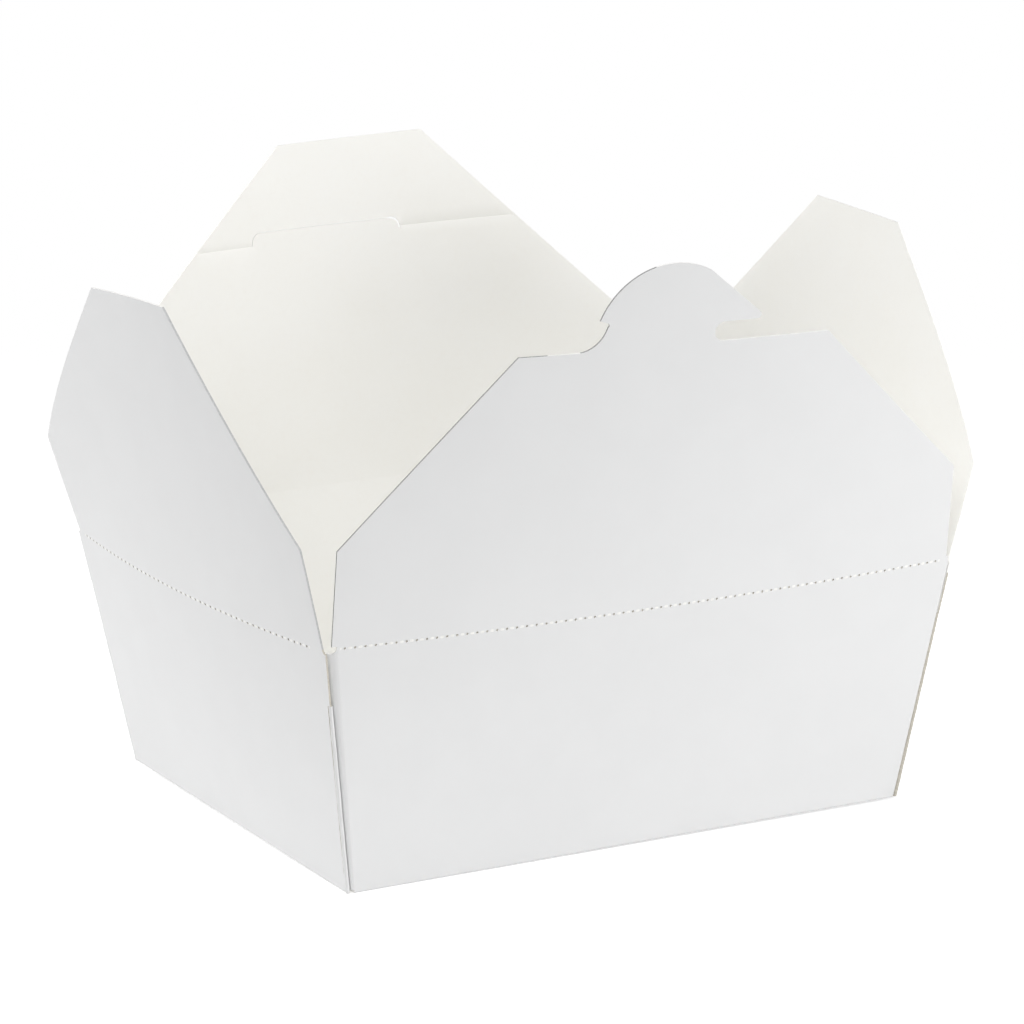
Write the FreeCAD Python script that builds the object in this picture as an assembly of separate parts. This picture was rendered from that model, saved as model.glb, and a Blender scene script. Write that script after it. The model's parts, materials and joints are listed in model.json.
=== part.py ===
import FreeCAD, Part
import os
from math import asin, atan, cos, degrees, pi, radians, sin, tan
from FreeCAD import Vector

# A takeout food box folded from one sheet of coated board, standing open.
# Millimetres. The origin is the centre of the bottom, +Z is up, the front wall faces -Y.

# Driving dimensions of the folded box
BOARD = 0.5
BOTTOM_LENGTH = 152.4
BOTTOM_WIDTH = 120.0
TOP_LENGTH = 174.0
TOP_WIDTH = 137.0
HEIGHT = 63.0

# Clearances of the folds
LAYER_CLEARANCE = 0.2
HINGE_CLEARANCE = 0.06
GUSSET_SPRING = 0.8

# Folds
BOTTOM_FOLD_RADIUS = 0.6
WALL_FOLD_RADIUS = 0.9
FREE_EDGE = 12.0
DIAGONAL_BEAD_START = 2.0

# How far each flap leans outward from upright as the box stands
FRONT_LEAN_ANGLE = 11.0
BACK_LEAN_ANGLE = 10.0
LEFT_LEAN_ANGLE = 13.0
RIGHT_LEAN_ANGLE = 10.5

# Slots that perforate each fold between a wall and its flap
SLOT_PITCH = 2.6
SLOT_LENGTH = 0.9
SLOT_RISE = 0.3
FOLD_FOOT_SHARE = 0.4
LONG_FOLD_SLOTS = 64
END_FOLD_SLOTS = 48

# Flap outlines: half widths across, heights up the flap from its fold
LONG_FLAP_HALF = 85.2
FRONT_SIDE_HEIGHT = 24.6
FRONT_TOP_HALF = 42.5
FRONT_SHOULDER_HEIGHT = 67.5
BACK_SIDE_HEIGHT = 28.2
BACK_TOP_HALF = 20.7
BACK_TOP_HEIGHT = 89.8
END_FLAP_HALF = 66.9
END_TIP_HALF = 67.4
END_TIP_HEIGHT = 29.0
END_TOP_HALF = 20.0
END_TOP_HEIGHT = 75.0
FLAP_CORNER_RADIUS = 1.2

# Locking tab of the front flap, seen from the front
TAB_SWEEP_RADIUS = 8.0
TAB_NECK_LEFT = -19.8
TAB_BARB_WIDTH = 2.6
TAB_ARC_RADIUS = 19.5
TAB_ARC_CENTRE_ACROSS = -3.4
TAB_RISE = 21.3
TAB_SLANT_ANGLE = 39.8
TAB_TIP_ACROSS = 22.0
TAB_TIP_RADIUS = 1.0
TAB_SLOT_HEIGHT = 4.9
TAB_SLOT_END = 9.0

# Slit and side creases of the back flap, seen from behind
CREASE_HEIGHT = 65.0
SLIT_LEFT = -12.8
SLIT_RIGHT = 30.0
SLIT_STEP_RADIUS = 2.6
SLIT_STEP_STRAIGHT = 0.3
SLIT_WIDTH = 0.4
CREASE_GROOVE_WIDTH = 0.9
CREASE_GROOVE_DEPTH = 0.15

# Sizes that follow from the ones above
END_LEAN = atan((TOP_LENGTH - BOTTOM_LENGTH) / 2.0 / HEIGHT)
LONG_LEAN = atan((TOP_WIDTH - BOTTOM_WIDTH) / 2.0 / HEIGHT)
LONG_FOLD_HEIGHT = HEIGHT + BOARD + LAYER_CLEARANCE
FIN_DEPTH = 2.0 * BOARD


def inward_from_end(side):
    """Unit normal of an end wall, pointing into the box. side is -1 left, 1 right."""
    return Vector(-side * cos(END_LEAN), 0.0, sin(END_LEAN))


def inward_from_long(side):
    """Unit normal of a long wall, pointing into the box. side is -1 front, 1 back."""
    return Vector(0.0, -side * cos(LONG_LEAN), sin(LONG_LEAN))


def end_reach(height, depth):
    """Distance from the middle of the box to an end wall's layer at this height."""
    return BOTTOM_LENGTH / 2.0 + (height * sin(END_LEAN) - depth) / cos(END_LEAN)


def long_reach(height, depth):
    """Distance from the middle of the box to a long wall's layer at this height."""
    return BOTTOM_WIDTH / 2.0 + (height * sin(LONG_LEAN) - depth) / cos(LONG_LEAN)


def corner_point(height, end_depth, long_depth):
    """Point at the front left corner, so deep behind the two walls' outer faces."""
    return Vector(-end_reach(height, end_depth), -long_reach(height, long_depth), height)


def plate(points, push):
    """Flat layer of board: the polygon pushed through the board's thickness."""
    face = Part.Face(Part.makePolygon(points + [points[0]]))
    return face.extrude(push)


def rod(start, end, radius):
    """Round bead of folded board from one point to another."""
    along = end - start
    return Part.makeCylinder(radius, along.Length, start, along)


def flipped(point, along_x, along_y):
    """The same point at another corner of the box. Each factor is 1 or -1."""
    return Vector(point.x * along_x, point.y * along_y, point.z)


def mirrored_x(shape):
    """Copy of a shape at the other end of the box."""
    return shape.mirror(Vector(0.0, 0.0, 0.0), Vector(1.0, 0.0, 0.0))


def mirrored_y(shape):
    """Copy of a shape on the other long side of the box."""
    return shape.mirror(Vector(0.0, 0.0, 0.0), Vector(0.0, 1.0, 0.0))


def envelope():
    """Space inside the outer faces of the walls and bottom, its bottom folds rounded."""
    top = HEIGHT * 1.2
    loops = []
    for height in (0.0, top):
        corner = corner_point(height, 0.0, 0.0)
        points = [flipped(corner, x, y) for x, y in ((1, 1), (-1, 1), (-1, -1), (1, -1))]
        loops.append(Part.makePolygon(points + [points[0]]))
    solid = Part.makeLoft(loops, True, True)
    folds = [edge for edge in solid.Edges if edge.BoundBox.ZMax < BOARD / 2.0]
    return solid.makeFillet(BOTTOM_FOLD_RADIUS, folds)


def wall_top(fold_height, lean):
    """Height of a wall's outer top edge, just under its flap's rounded fold."""
    reach = BOARD / 2.0 + HINGE_CLEARANCE
    return fold_height - BOARD / 2.0 * sin(lean) - reach * cos(lean)


def free_edge_foot():
    """Height where an end wall's side edge comes free of its gusset."""
    return wall_top(HEIGHT, END_LEAN) - FREE_EDGE


def bottom_panel():
    """Bottom of the box, with its outer faces inside the feet of the walls."""
    return Part.makeBox(
        BOTTOM_LENGTH, BOTTOM_WIDTH, BOARD, Vector(-BOTTOM_LENGTH / 2.0, -BOTTOM_WIDTH / 2.0, 0.0)
    )


def end_wall():
    """Left end wall. Below its free stretch each side edge folds back into a gusset."""
    top = wall_top(HEIGHT, END_LEAN)
    foot = free_edge_foot()
    front = [
        corner_point(0.0, 0.0, BOARD),
        corner_point(foot, 0.0, BOARD),
        corner_point(foot, 0.0, 0.0),
        corner_point(top, 0.0, 0.0),
    ]
    back = [flipped(point, 1, -1) for point in reversed(front)]
    return plate(front + back, inward_from_end(-1) * BOARD)


def side_flare(across, lean):
    """Angle between a wall's side edge and the wall's own upright middle line."""
    return atan(across * cos(lean) / HEIGHT)


def fold_end():
    """Upper end of the gusset's diagonal fold, in the plane between its two halves.

    The flat web's free edge is straight from the long wall's rim to the end wall's
    free stretch, and the diagonal halves the web's angle.
    """
    end_flare = side_flare((TOP_WIDTH - BOTTOM_WIDTH) / 2.0, END_LEAN)
    long_flare = side_flare((TOP_LENGTH - BOTTOM_LENGTH) / 2.0, LONG_LEAN)
    half = (pi / 2.0 - end_flare - long_flare) / 2.0
    full = (corner_point(HEIGHT, 0.0, 0.0) - corner_point(0.0, 0.0, 0.0)).Length
    part = full - FREE_EDGE
    length = 2.0 * full * part * cos(half) / (full + part)
    slope = Vector(-sin(END_LEAN), 0.0, cos(END_LEAN))
    run = slope * cos(half - end_flare) + Vector(0.0, sin(half - end_flare), 0.0)
    return corner_point(0.0, FIN_DEPTH, 0.0) + run * length


def glued_half():
    """Half of the front left web, glued to the end wall's inner face."""
    push = inward_from_end(-1) * BOARD
    foot = corner_point(0.0, BOARD, BOARD)
    edge_top = corner_point(free_edge_foot(), BOARD, BOARD)
    return plate([foot, edge_top, fold_end() - push], push)


def sprung_corners():
    """Foot, rim and diagonal end of the half of the web that joins the front wall."""
    foot = corner_point(0.0, FIN_DEPTH, 0.0)
    rim = corner_point(wall_top(LONG_FOLD_HEIGHT, LONG_LEAN), FIN_DEPTH + GUSSET_SPRING, 0.0)
    return foot, rim, fold_end()


def sprung_normal():
    """Unit normal of that half, pointing into the box."""
    foot, rim, inner = sprung_corners()
    normal = (inner - foot).cross(rim - foot)
    normal.normalize()
    return normal


def sprung_half():
    """Half of the front left web that joins the front wall, sprung a little open."""
    return plate(list(sprung_corners()), sprung_normal() * BOARD)


def gusset_beads():
    """Folded edges of the front left gusset: at the end wall's side and on the diagonal."""
    side = rod(
        corner_point(0.0, BOARD, BOARD), corner_point(free_edge_foot(), BOARD, BOARD), BOARD
    )
    foot = corner_point(0.0, FIN_DEPTH, 0.0)
    run = fold_end() - foot
    clear = run * (DIAGONAL_BEAD_START / run.Length)
    return [side, rod(foot + clear, foot + run, BOARD)]


def corner_shaving(foot, rim, along_front, along_gusset):
    """Sharp sliver outside the rounded fold where the front wall turns into the gusset.

    The last two vectors lie in the two outer faces, square to the fold, and lead away from it.
    """
    half = along_front.getAngle(along_gusset) / 2.0
    bisector = along_front + along_gusset
    bisector.normalize()
    centre = foot + bisector * (WALL_FOLD_RADIUS / sin(half))
    touch = WALL_FOLD_RADIUS / tan(half)
    spill = 1.2
    points = [centre]
    for corner in (foot + along_front * touch, foot, foot + along_gusset * touch):
        points.append(centre + (corner - centre) * spill)
    run = rim - foot
    extra = run * 0.1
    start = [point - extra for point in points]
    sliver = plate(start, run + extra * 2.0)
    return sliver.cut(rod(centre - extra, centre + run + extra, WALL_FOLD_RADIUS))


def long_wall():
    """Front wall with the halves of its two gussets, rounded where they turn the corner."""
    foot, rim = sprung_corners()[:2]
    outline = [foot, rim, flipped(rim, -1, 1), flipped(foot, -1, 1)]
    wall = plate(outline, inward_from_long(-1) * BOARD)
    half = sprung_half()
    wall = wall.fuse([half, mirrored_x(half)]).removeSplitter()
    fold = rim - foot
    fold.normalize()
    along_front = inward_from_long(-1).cross(fold)
    along_gusset = sprung_normal().cross(fold)
    if along_front.x < 0.0:
        along_front = along_front * -1.0
    if along_gusset.y < 0.0:
        along_gusset = along_gusset * -1.0
    shaving = corner_shaving(foot, rim, along_front, along_gusset)
    return wall.cut([shaving, mirrored_x(shaving)])


def tray():
    """Bottom, four walls and four folded gussets, all one sheet of board."""
    left = end_wall()
    front = long_wall()
    layers = [left, mirrored_x(left), front, mirrored_y(front)]
    for layer in [glued_half()] + gusset_beads():
        layers += [layer, mirrored_x(layer), mirrored_y(layer), mirrored_y(mirrored_x(layer))]
    return bottom_panel().fuse(layers).common(envelope()).removeSplitter()


def bow(centre, radius, start, end):
    """Arc about a centre in a flap's plane, from one angle to another in degrees."""
    points = []
    for angle in (start, (start + end) / 2.0, end):
        turn = radians(angle)
        points.append(Vector(centre[0] + radius * cos(turn), 0.0, centre[1] + radius * sin(turn)))
    return Part.Arc(*points).toShape()


def joined(pieces):
    """Closed outline from arcs and the points of straight stretches, in order."""
    edges = []
    last = None
    first = None
    for piece in pieces:
        if isinstance(piece, tuple):
            start = end = Vector(piece[0], 0.0, piece[1])
        else:
            start = piece.valueAt(piece.FirstParameter)
            end = piece.valueAt(piece.LastParameter)
        if last is not None and (start - last).Length > 1e-6:
            edges.append(Part.makeLine(last, start))
        if not isinstance(piece, tuple):
            edges.append(piece)
        if first is None:
            first = start
        last = end
    edges.append(Part.makeLine(last, first))
    return Part.Wire(edges)


def cut_out(outline):
    """Board of a flap from its outline, standing on its fold, with its outer face to -Y."""
    board = Part.Face(outline).extrude(Vector(0.0, BOARD, 0.0))
    board.translate(Vector(0.0, -BOARD / 2.0, 0.0))
    return board


def rounded(board, corners):
    """A flap's board with these corners of its outline rounded."""
    chosen = []
    for across, height in corners:
        for edge in board.Edges:
            box = edge.BoundBox
            if abs(box.XMin - across) + abs(box.XMax - across) > 1e-3:
                continue
            if abs(box.ZMin - height) + abs(box.ZMax - height) > 1e-3:
                continue
            chosen.append(edge)
    return board.makeFillet(FLAP_CORNER_RADIUS, chosen)


def with_fold(board, half, slots):
    """A flap's board with its lower edge narrowed about the fold line and perforated."""
    foot = BOARD * FOLD_FOOT_SHARE / 2.0
    depth = (BOARD * BOARD / 4.0 - foot * foot) ** 0.5
    section = [(-BOARD / 2.0, 0.0), (-foot, -depth), (foot, -depth), (BOARD / 2.0, 0.0)]
    fold = plate([Vector(-half, y, z) for y, z in section], Vector(2.0 * half, 0.0, 0.0))
    cuts = []
    for number in range(slots):
        middle = (number - (slots - 1) / 2.0) * SLOT_PITCH
        corner = Vector(middle - SLOT_LENGTH / 2.0, -BOARD, -BOARD)
        cuts.append(Part.makeBox(SLOT_LENGTH, 2.0 * BOARD, BOARD + SLOT_RISE, corner))
    return board.fuse(fold).removeSplitter().cut(cuts)


def standing(flap, turn, lean, reach, height):
    """A flap leaned outward and turned to its side of the box. turn is 0 for the front."""
    flap.rotate(Vector(0.0, 0.0, 0.0), Vector(1.0, 0.0, 0.0), lean)
    flap.translate(Vector(0.0, -reach, height))
    flap.rotate(Vector(0.0, 0.0, 0.0), Vector(0.0, 0.0, 1.0), turn)
    return flap


def tab_outline():
    """Free edge of the locking tab, from the left shoulder round to the right one."""
    shoulder = FRONT_SHOULDER_HEIGHT
    sweep_centre = (TAB_NECK_LEFT - TAB_SWEEP_RADIUS, shoulder + TAB_SWEEP_RADIUS)
    sweep = bow(sweep_centre, TAB_SWEEP_RADIUS, 270.0, 360.0)
    arc_centre = (TAB_ARC_CENTRE_ACROSS, shoulder + TAB_RISE - TAB_ARC_RADIUS)
    barb_across = TAB_NECK_LEFT - TAB_BARB_WIDTH - TAB_ARC_CENTRE_ACROSS
    barb_angle = degrees(asin(-barb_across / TAB_ARC_RADIUS) + pi / 2.0)
    slant_start = 90.0 - TAB_SLANT_ANGLE
    top = bow(arc_centre, TAB_ARC_RADIUS, barb_angle, slant_start)
    slot_top = shoulder + TAB_SLOT_HEIGHT
    tip_centre = (TAB_TIP_ACROSS - TAB_TIP_RADIUS, slot_top + TAB_TIP_RADIUS)
    tip = bow(tip_centre, TAB_TIP_RADIUS, slant_start, -90.0)
    slot_radius = TAB_SLOT_HEIGHT / 2.0
    slot_centre = (TAB_SLOT_END + slot_radius, shoulder + slot_radius)
    slot = bow(slot_centre, slot_radius, 90.0, 270.0)
    return [sweep, top, tip, slot]


def front_flap():
    """Front flap with the locking tab on its free edge."""
    left = [(-LONG_FLAP_HALF, 0.0), (-LONG_FLAP_HALF, FRONT_SIDE_HEIGHT)]
    left.append((-FRONT_TOP_HALF, FRONT_SHOULDER_HEIGHT))
    right = [(-across, height) for across, height in reversed(left)]
    board = cut_out(joined(left + tab_outline() + right))
    board = rounded(board, left[1:] + right[:2])
    flap = with_fold(board, LONG_FLAP_HALF, LONG_FOLD_SLOTS)
    reach = long_reach(LONG_FOLD_HEIGHT, BOARD / 2.0)
    return standing(flap, 0.0, FRONT_LEAN_ANGLE, reach, LONG_FOLD_HEIGHT)


def slit():
    """Narrow cut for the tab, lifted off the crease line by a rounded step at each end."""
    half = SLIT_WIDTH / 2.0
    bend = CREASE_HEIGHT + SLIT_STEP_STRAIGHT
    left = (SLIT_LEFT + SLIT_STEP_RADIUS, bend)
    right = (SLIT_RIGHT - SLIT_STEP_RADIUS, bend)
    outer = SLIT_STEP_RADIUS + half
    inner = SLIT_STEP_RADIUS - half
    outline = joined([
        (SLIT_LEFT - half, CREASE_HEIGHT),
        bow(left, outer, 180.0, 90.0),
        bow(right, outer, 90.0, 0.0),
        (SLIT_RIGHT + half, CREASE_HEIGHT),
        (SLIT_RIGHT - half, CREASE_HEIGHT),
        bow(right, inner, 0.0, 90.0),
        bow(left, inner, 90.0, 180.0),
        (SLIT_LEFT + half, CREASE_HEIGHT),
    ])
    return cut_out(outline)


def crease(start, end):
    """Shallow groove pressed into the flap's inner face along the crease line."""
    half = CREASE_GROOVE_WIDTH / 2.0
    radius = (half * half + CREASE_GROOVE_DEPTH ** 2) / (2.0 * CREASE_GROOVE_DEPTH)
    height = BOARD / 2.0 - CREASE_GROOVE_DEPTH + radius
    return rod(Vector(start, height, CREASE_HEIGHT), Vector(end, height, CREASE_HEIGHT), radius)


def back_flap():
    """Back flap with the slit that takes the tab, and a crease to each side of it."""
    left = [(-LONG_FLAP_HALF, 0.0), (-LONG_FLAP_HALF, BACK_SIDE_HEIGHT)]
    left.append((-BACK_TOP_HALF, BACK_TOP_HEIGHT))
    right = [(-across, height) for across, height in reversed(left)]
    board = rounded(cut_out(joined(left + right)), left[1:] + right[:2])
    creases = [crease(-LONG_FLAP_HALF, SLIT_LEFT), crease(SLIT_RIGHT, LONG_FLAP_HALF)]
    board = board.cut([slit()] + creases)
    flap = with_fold(board, LONG_FLAP_HALF, LONG_FOLD_SLOTS)
    reach = long_reach(LONG_FOLD_HEIGHT, BOARD / 2.0)
    return standing(flap, 180.0, BACK_LEAN_ANGLE, reach, LONG_FOLD_HEIGHT)


def end_flap(turn, lean):
    """Flap of an end wall. turn is -90 for the left end and 90 for the right."""
    left = [(-END_FLAP_HALF, 0.0), (-END_TIP_HALF, END_TIP_HEIGHT), (-END_TOP_HALF, END_TOP_HEIGHT)]
    right = [(-across, height) for across, height in reversed(left)]
    board = rounded(cut_out(joined(left + right)), left[1:] + right[:2])
    flap = with_fold(board, END_FLAP_HALF, END_FOLD_SLOTS)
    return standing(flap, turn, lean, end_reach(HEIGHT, BOARD / 2.0), HEIGHT)


os.makedirs("parts", exist_ok=True)
nodes = {
    "tray": tray(),
    "front_flap": front_flap(),
    "back_flap": back_flap(),
    "left_flap": end_flap(-90.0, LEFT_LEAN_ANGLE),
    "right_flap": end_flap(90.0, RIGHT_LEAN_ANGLE),
}
for name, shape in nodes.items():
    shape.exportStep("parts/" + name + ".step")
    box = shape.BoundBox
    spans = [box.XMin, box.XMax, box.YMin, box.YMax, box.ZMin, box.ZMax]
    print(name, shape.isValid(), len(shape.Solids), [round(span, 2) for span in spans])
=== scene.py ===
# %% [markdown]
# # A takeout food box, standing open
#
# The real box is one sheet of coated board. It is cut, creased and perforated flat, then folded
# up: a bottom, four sloping walls, four corner webs that fold in against the end walls, and four
# flaps that keep a soft spring where they are bent open. Nothing on it is thicker than half a
# millimetre, so nearly all of its look comes from three things: how the sheets bow, how their
# cut edges catch the light, and the difference between the coated outside and the bare inside.
#
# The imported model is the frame. It gives the folds that the flaps turn on, and every sheet made
# here rides on one of its bodies.

# %% Load the frame
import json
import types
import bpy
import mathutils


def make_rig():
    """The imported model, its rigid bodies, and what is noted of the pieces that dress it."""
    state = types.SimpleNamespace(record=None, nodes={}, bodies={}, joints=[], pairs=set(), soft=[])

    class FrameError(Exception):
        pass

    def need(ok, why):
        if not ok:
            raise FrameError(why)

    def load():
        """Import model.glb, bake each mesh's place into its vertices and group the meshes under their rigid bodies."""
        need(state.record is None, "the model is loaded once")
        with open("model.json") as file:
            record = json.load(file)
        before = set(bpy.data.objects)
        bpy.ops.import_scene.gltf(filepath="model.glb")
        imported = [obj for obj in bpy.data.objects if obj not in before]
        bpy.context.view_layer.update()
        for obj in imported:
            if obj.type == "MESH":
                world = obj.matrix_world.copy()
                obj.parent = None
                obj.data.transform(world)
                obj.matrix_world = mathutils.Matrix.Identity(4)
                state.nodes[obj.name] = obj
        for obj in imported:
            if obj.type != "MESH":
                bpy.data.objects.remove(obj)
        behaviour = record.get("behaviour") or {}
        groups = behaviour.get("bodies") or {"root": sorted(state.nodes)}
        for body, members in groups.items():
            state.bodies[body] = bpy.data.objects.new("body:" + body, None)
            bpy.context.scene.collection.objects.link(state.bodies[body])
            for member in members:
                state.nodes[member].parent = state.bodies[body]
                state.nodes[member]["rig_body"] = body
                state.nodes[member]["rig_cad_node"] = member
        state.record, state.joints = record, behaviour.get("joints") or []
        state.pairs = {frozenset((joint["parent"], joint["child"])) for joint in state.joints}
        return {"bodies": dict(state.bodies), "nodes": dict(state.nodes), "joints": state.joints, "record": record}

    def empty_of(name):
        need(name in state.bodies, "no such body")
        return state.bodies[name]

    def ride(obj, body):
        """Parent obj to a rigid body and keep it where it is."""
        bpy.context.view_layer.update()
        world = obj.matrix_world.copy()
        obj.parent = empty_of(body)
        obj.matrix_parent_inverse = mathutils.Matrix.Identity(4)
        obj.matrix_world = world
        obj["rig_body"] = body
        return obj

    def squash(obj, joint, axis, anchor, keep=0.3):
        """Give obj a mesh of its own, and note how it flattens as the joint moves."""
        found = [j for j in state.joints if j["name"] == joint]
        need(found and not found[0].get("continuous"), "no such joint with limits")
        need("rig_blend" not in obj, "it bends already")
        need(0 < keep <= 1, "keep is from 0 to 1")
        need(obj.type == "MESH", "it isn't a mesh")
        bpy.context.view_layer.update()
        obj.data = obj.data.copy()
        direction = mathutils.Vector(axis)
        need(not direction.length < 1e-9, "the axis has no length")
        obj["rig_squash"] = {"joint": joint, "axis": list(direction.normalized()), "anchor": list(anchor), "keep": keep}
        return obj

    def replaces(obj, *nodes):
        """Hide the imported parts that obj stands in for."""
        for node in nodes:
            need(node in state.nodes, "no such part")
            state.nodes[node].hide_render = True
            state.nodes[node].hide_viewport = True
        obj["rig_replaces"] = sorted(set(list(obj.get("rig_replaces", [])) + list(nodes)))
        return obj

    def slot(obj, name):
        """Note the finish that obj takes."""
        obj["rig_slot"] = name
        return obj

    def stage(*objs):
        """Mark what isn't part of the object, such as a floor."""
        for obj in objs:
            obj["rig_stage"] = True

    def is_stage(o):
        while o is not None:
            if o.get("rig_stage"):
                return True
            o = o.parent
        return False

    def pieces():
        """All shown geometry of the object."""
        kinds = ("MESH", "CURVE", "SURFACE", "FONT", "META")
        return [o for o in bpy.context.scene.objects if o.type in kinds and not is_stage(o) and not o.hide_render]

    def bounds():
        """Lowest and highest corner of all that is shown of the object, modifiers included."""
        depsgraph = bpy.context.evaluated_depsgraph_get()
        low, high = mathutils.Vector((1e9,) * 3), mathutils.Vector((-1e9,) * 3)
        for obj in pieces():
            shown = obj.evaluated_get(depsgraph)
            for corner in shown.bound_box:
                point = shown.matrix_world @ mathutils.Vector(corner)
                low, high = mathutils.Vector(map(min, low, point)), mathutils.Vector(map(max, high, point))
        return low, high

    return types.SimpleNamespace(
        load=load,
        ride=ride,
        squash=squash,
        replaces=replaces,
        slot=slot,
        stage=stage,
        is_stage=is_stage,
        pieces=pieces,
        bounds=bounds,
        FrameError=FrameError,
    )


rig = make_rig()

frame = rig.load()
import json
import bpy
import numpy as np
from mathutils import Matrix
from mathutils.geometry import delaunay_2d_cdt

cad_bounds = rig.bounds()
MM = 0.001
folds = {
    joint["name"].replace("_flap_fold", ""): np.array(joint["pos_m"])
    for joint in frame["joints"]
}
print("folds:", {side: place.round(4).tolist() for side, place in folds.items()})

# %% [markdown]
# ## Sizes that the box keeps
#
# The folds come from the frame. The bottom, the board and the corner folds repeat a few sizes of
# the solid model, because a scene can't read that file. The dots of the perforated folds and the
# spring of the board are new: each wall is straight along the bottom and bows outward towards its
# rim, and each flap starts with that bow and changes it on the way up.

# %% Sizes of the tray
BOARD = 0.5 * MM
BOTTOM_HALF_LENGTH = 76.2 * MM
BOTTOM_HALF_WIDTH = 60.0 * MM
WALL_FOLD_RADIUS = 0.9 * MM
BOTTOM_FOLD_RADIUS = 0.6 * MM

# Depth of the folded-in corners behind an end wall, and what depth and radius gain by the rim.
WEB_DEPTH = {"left": 1.25 * MM, "right": 0.6 * MM}
WEB_SPRING = {"left": 0.25 * MM, "right": -0.3 * MM}
CORNER_GROWTH = {"left": 0.8 * MM, "right": 0.0}
FREE_EDGE = 14.2 * MM
SLOT_PITCH = 2.6 * MM
SLOT_RADIUS = 0.31 * MM
SLOT_DROP = {"front": 0.65 * MM, "back": 0.45 * MM, "left": 0.45 * MM, "right": 0.45 * MM}
LONG_FOLD_SLOTS = 64
END_FOLD_SLOTS = 48
LATTICE = 3.0 * MM
SLIVER = 2e-9
TINY = 1e-12

LONG_HEIGHT = folds["front"][2]
END_HEIGHT = folds["left"][2]
LONG_REACH = -folds["front"][1]
END_REACH = folds["right"][0]
UP = np.array([0.0, 0.0, 1.0])


def unit(vectors):
    """Vectors made 1 long."""
    return vectors / np.linalg.norm(vectors, axis=-1, keepdims=True)


def lean_of(reach, bottom_half, height):
    """Angle of a wall from upright: its board's middle runs from the bottom's edge to the fold."""
    lean = np.arctan2(reach - bottom_half, height)
    for _ in range(4):
        foot = bottom_half - BOARD / 2 / np.cos(lean)
        lean = np.arctan2(reach - foot, height)
    return float(lean)


LONG_LEAN = lean_of(LONG_REACH, BOTTOM_HALF_WIDTH, LONG_HEIGHT)
END_LEAN = lean_of(END_REACH, BOTTOM_HALF_LENGTH, END_HEIGHT)
RIM_HALF_LENGTH = END_REACH + BOARD / 2 / np.cos(END_LEAN)
RIM_HALF_WIDTH = LONG_REACH + BOARD / 2 / np.cos(LONG_LEAN)
print("wall leans in degrees:", round(np.degrees(LONG_LEAN), 2), round(np.degrees(END_LEAN), 2))

# %% [markdown]
# ## Each side of the box has its own measure
#
# A wall and its flap are drawn flat, as the die cuts them: across the fold, and up from it. One
# small class per side turns such flat places into places in the room. It knows where the fold
# is, which way is outward, how far the wall leans, and how the sheet has sprung.


# %% One side of the box
class Side:
    """A wall with its flap. Flat places are (across, up) in metres, measured from the fold.

    The wall's bow is largest at the rim and fades to none at the bottom, and it is a parabola
    across: bow * (1 - (across / half)^2). Above the fold the same parabola goes on, and grows
    or shrinks with the height by the flap's own rate. The skew makes one side edge of the flap
    taller, and the twist turns it: twist * across * up * (1 - (up / TWIST_BACK)^2).
    """

    TWIST_BACK = 75.0 * MM

    def __init__(self, name, out, along, halves, wall_lean, *, flap_lean, plane_lean, bow, rate,
                 skew=0.0, twist=0.0):
        self.name = name
        self.fold = folds[name]
        self.out = np.array(out, float)
        self.along = np.array(along, float)
        self.low_half, self.half = halves
        self.twist = twist
        self.wall_lean = wall_lean
        self.flap_lean = np.radians(flap_lean)
        self.plane_lean = np.radians(plane_lean)
        self.bow = bow
        self.rate = rate
        self.skew = skew
        self.slant = self.fold[2] / np.cos(wall_lean)

    def slope(self, lean):
        """Direction up a sheet that leans outward by this much."""
        return self.out * np.sin(lean) + UP * np.cos(lean)

    def normal(self, lean):
        """Outward normal of such a sheet."""
        return self.out * np.cos(lean) - UP * np.sin(lean)

    def arch(self, across, share=1.0):
        """The parabola across the sheet: 1 in the middle and 0 at its two side edges."""
        return 1.0 - (across / (self.low_half + (self.half - self.low_half) * share)) ** 2

    def wall(self, across, up, depth=0.0):
        """A layer of the wall: flat slope, plus the bow that fades towards the bottom."""
        share = np.clip(1.0 + up / self.slant, 0.0, 1.0)
        flat = self.fold + np.multiply.outer(across, self.along)
        flat = flat + np.multiply.outer(up, self.slope(self.wall_lean))
        flat = flat - np.multiply.outer(depth + 0.0 * up, self.normal(self.wall_lean))
        return flat + np.multiply.outer(self.bow * share * self.arch(across, share), self.out)

    def flap(self, across, up):
        """Middle of the flap's board: flat slope, plus the fold's bow and the sheet's own."""
        up = up * (1.0 + self.skew * across)
        flat = self.fold + np.multiply.outer(across, self.along)
        flat = flat + np.multiply.outer(up, self.slope(self.flap_lean))
        flat = flat + np.multiply.outer(self.bow * self.arch(across), self.out)
        twisted = self.twist * across * up * (1.0 - (up / self.TWIST_BACK) ** 2)
        curl = self.rate * up * self.arch(across) + twisted
        return flat + np.multiply.outer(curl, self.normal(self.flap_lean))


lengths = (BOTTOM_HALF_LENGTH, RIM_HALF_LENGTH)
widths = (BOTTOM_HALF_WIDTH, RIM_HALF_WIDTH)
sides = {
    "front": Side("front", (0, -1, 0), (1, 0, 0), lengths, LONG_LEAN,
                  flap_lean=7.7, plane_lean=11.0, bow=5.0 * MM, rate=0.026, skew=-0.5),
    "back": Side("back", (0, 1, 0), (1, 0, 0), lengths, LONG_LEAN,
                 flap_lean=5.9, plane_lean=10.0, bow=6.6 * MM, rate=0.015),
    "left": Side("left", (-1, 0, 0), (0, 1, 0), widths, END_LEAN,
                 flap_lean=15.46, plane_lean=13.0, bow=5.0 * MM, rate=-0.110, twist=0.74),
    "right": Side("right", (1, 0, 0), (0, 1, 0), widths, END_LEAN,
                  flap_lean=11.6, plane_lean=10.5, bow=3.9 * MM, rate=-0.052, twist=-1.45),
}
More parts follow.
